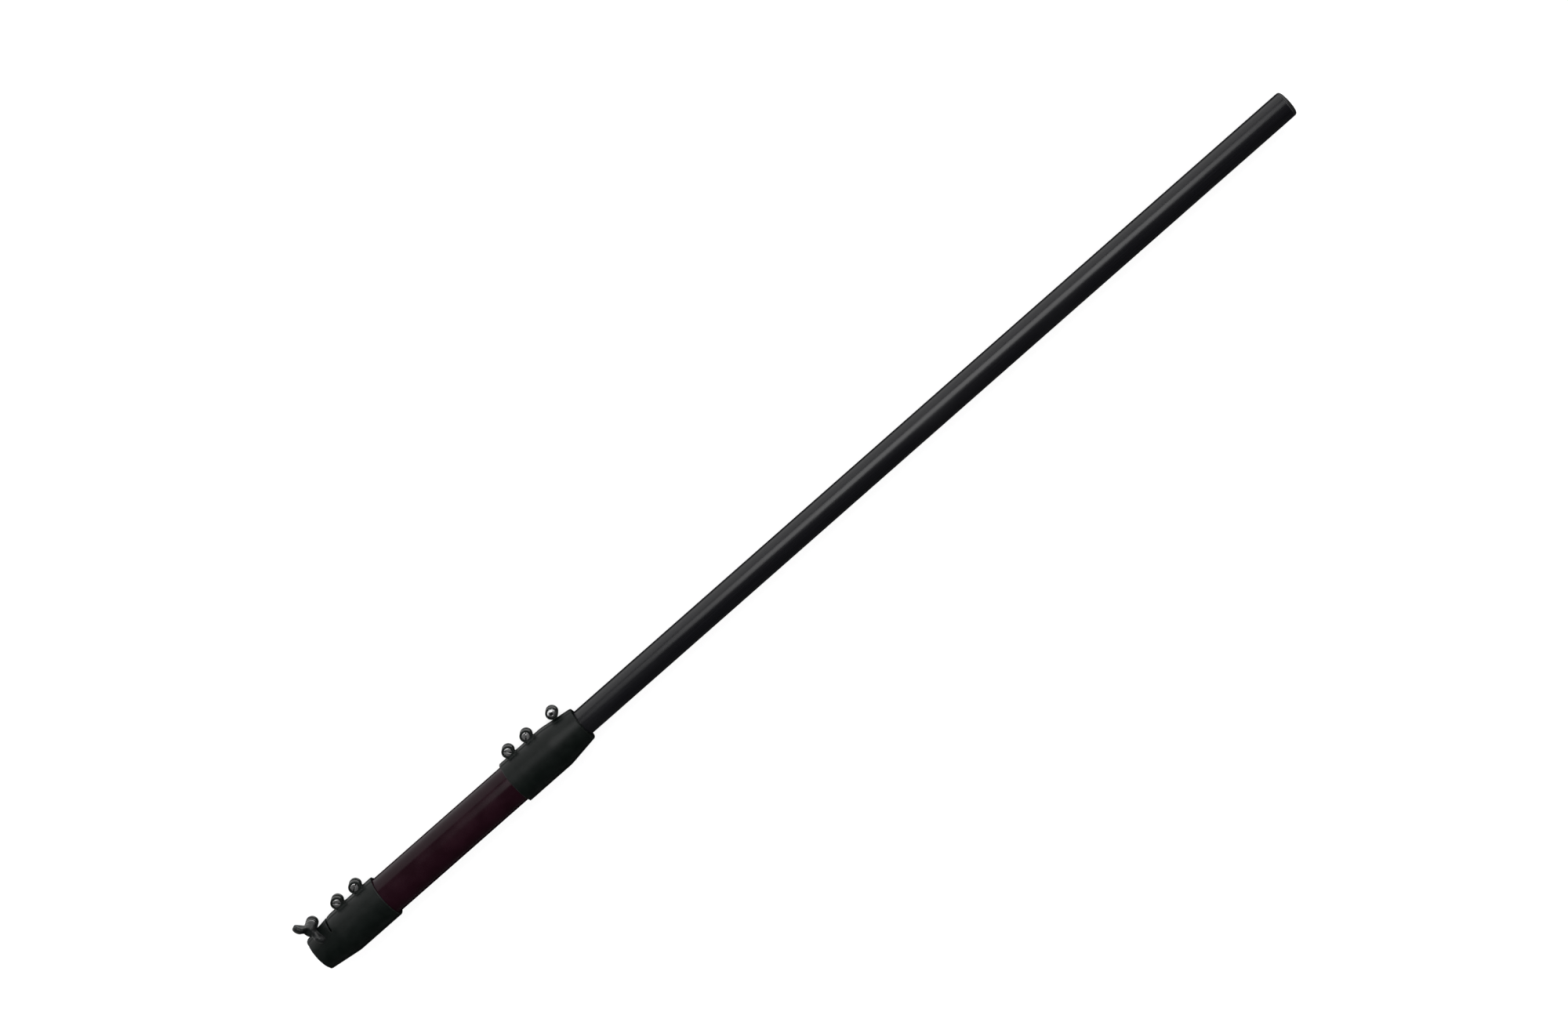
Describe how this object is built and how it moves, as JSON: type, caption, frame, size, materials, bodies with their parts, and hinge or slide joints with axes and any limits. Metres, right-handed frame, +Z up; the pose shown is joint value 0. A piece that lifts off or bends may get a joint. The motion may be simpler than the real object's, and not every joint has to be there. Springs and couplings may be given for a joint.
{
  "type": "boom pole",
  "caption": "Take-apart boom pole section: a long thin tube in a short thick sleeve, held by split clamp collars with screws; the rear collar is an open socket with a wing screw.",
  "frame": {"origin": "middle of the bounding box at floor level; the pole's own axis runs at y = -14.8 mm, z = 21 mm", "axes": "+X along the pole from the open socket to the capped tip, +Z up, lugs and screws on the +Y side"},
  "size_m": [1.1492, 0.0716, 0.0456],
  "materials": {
    "sleeve_finish": "satin maroon-black anodised",
    "tube_finish": "satin black anodised",
    "collar_plastic": "matte moulded charcoal nylon",
    "bright_steel": "bright zinc plate",
    "wing_finish": "dark grey coated die casting",
    "black_plastic": "matte black moulded",
    "white_plastic": "smooth natural acetal"
  },
  "bodies": {
    "sleeve_body": {"sleeve_tube": "sleeve_finish", "front_collar": "collar_plastic", "rear_collar": "collar_plastic", "socket_bush": "black_plastic", "front_sleeve_screw_1": "bright_steel", "front_sleeve_screw_2": "bright_steel", "rear_sleeve_screw_1": "bright_steel", "rear_sleeve_screw_2": "bright_steel", "front_sleeve_nut_1": "bright_steel", "front_sleeve_nut_2": "bright_steel", "rear_sleeve_nut_1": "bright_steel", "rear_sleeve_nut_2": "bright_steel", "front_clamp_nut": "bright_steel", "wing_nut": "bright_steel"},
    "guide_body": {"guide_bush": "white_plastic"},
    "tube_body": {"inner_tube": "tube_finish", "tip_cap": "black_plastic", "guide_ring_rear": "bright_steel", "guide_ring_front": "bright_steel"},
    "clamp_washer_body": {"front_clamp_washer": "bright_steel"},
    "clamp_screw_body": {"front_clamp_screw": "bright_steel"},
    "wing_washer_body": {"wing_washer": "bright_steel"},
    "wing_screw_body": {"wing_grip": "wing_finish", "wing_stud": "bright_steel"}
  },
  "joints": [
    {"name": "tube_slide", "type": "slide", "parent": "sleeve_body", "child": "guide_body", "axis": [1, 0, 0], "range_m": [-0.125, 0.05]},
    {"name": "tube_turn", "type": "hinge", "parent": "guide_body", "child": "tube_body", "pos_m": [0, -0.0148, 0.021], "axis": [1, 0, 0], "continuous": true},
    {"name": "clamp_screw_lift", "type": "slide", "parent": "sleeve_body", "child": "clamp_washer_body", "axis": [0, 0.4989, 0.8666], "range_m": [0, 0.0012]},
    {"name": "clamp_screw_turn", "type": "hinge", "parent": "clamp_washer_body", "child": "clamp_screw_body", "pos_m": [-0.27165, 0.00747, 0.00818], "axis": [0, 0.4989, 0.8666], "range_deg": [0, 540]},
    {"name": "wing_lift", "type": "slide", "parent": "sleeve_body", "child": "wing_washer_body", "axis": [0, 0.4684, 0.8835], "range_m": [0, 0.0012]},
    {"name": "wing_turn", "type": "hinge", "parent": "wing_washer_body", "child": "wing_screw_body", "pos_m": [-0.56065, 0.00791, 0.00896], "axis": [0, 0.4684, 0.8835], "range_deg": [0, 540]}
  ],
  "couplings": [
    {"joint": "clamp_screw_turn", "follows": "clamp_screw_lift", "rad_per_m": 7854},
    {"joint": "wing_turn", "follows": "wing_lift", "rad_per_m": 7854}
  ]
}
